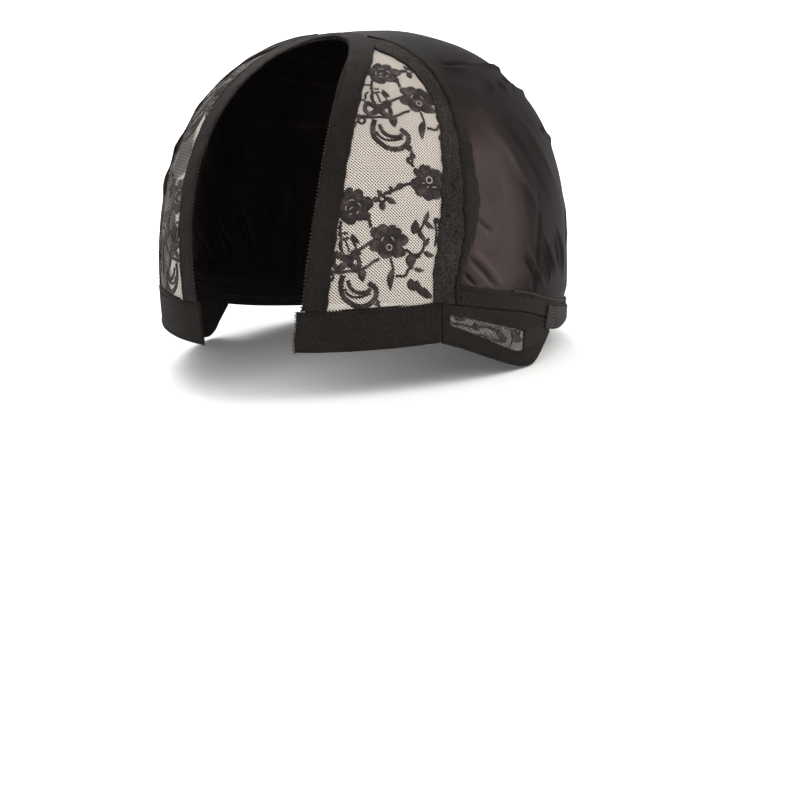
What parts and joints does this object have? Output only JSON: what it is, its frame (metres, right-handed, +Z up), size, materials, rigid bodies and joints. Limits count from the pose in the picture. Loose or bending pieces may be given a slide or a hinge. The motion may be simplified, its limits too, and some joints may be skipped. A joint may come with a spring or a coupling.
{
  "type": "wig cap",
  "caption": "Stretch wig cap with an open parting slot over the forehead, lace side panels, ear tabs and a nape strap.",
  "frame": {"origin": "inside of the crown top, where the cap sits on a head", "axes": "+Z up the wearer's head, -Y the way the wearer faces, +X to the wearer's left"},
  "size_m": [0.1606, 0.1971, 0.132],
  "materials": {
    "elastic_band": "matt ribbed black elastic tape",
    "stretch_cloth": "thin black stretch mesh with a soft sheen",
    "lace": "fine net with floral lace motifs",
    "strap_elastic": "narrow ribbed elastic strap"
  },
  "bodies": {
    "root": {"crown": "stretch_cloth", "lace_panel_left": "lace", "lace_panel_right": "lace", "ear_tab_lace_left": "lace", "ear_tab_lace_right": "lace", "slot_band": "elastic_band", "arch_band_left": "elastic_band", "arch_band_right": "elastic_band", "front_hem_left": "elastic_band", "front_hem_right": "elastic_band", "back_band": "elastic_band", "ear_tab_binding_left": "elastic_band", "ear_tab_binding_right": "elastic_band", "nape_strap": "strap_elastic"}
  },
  "joints": []
}
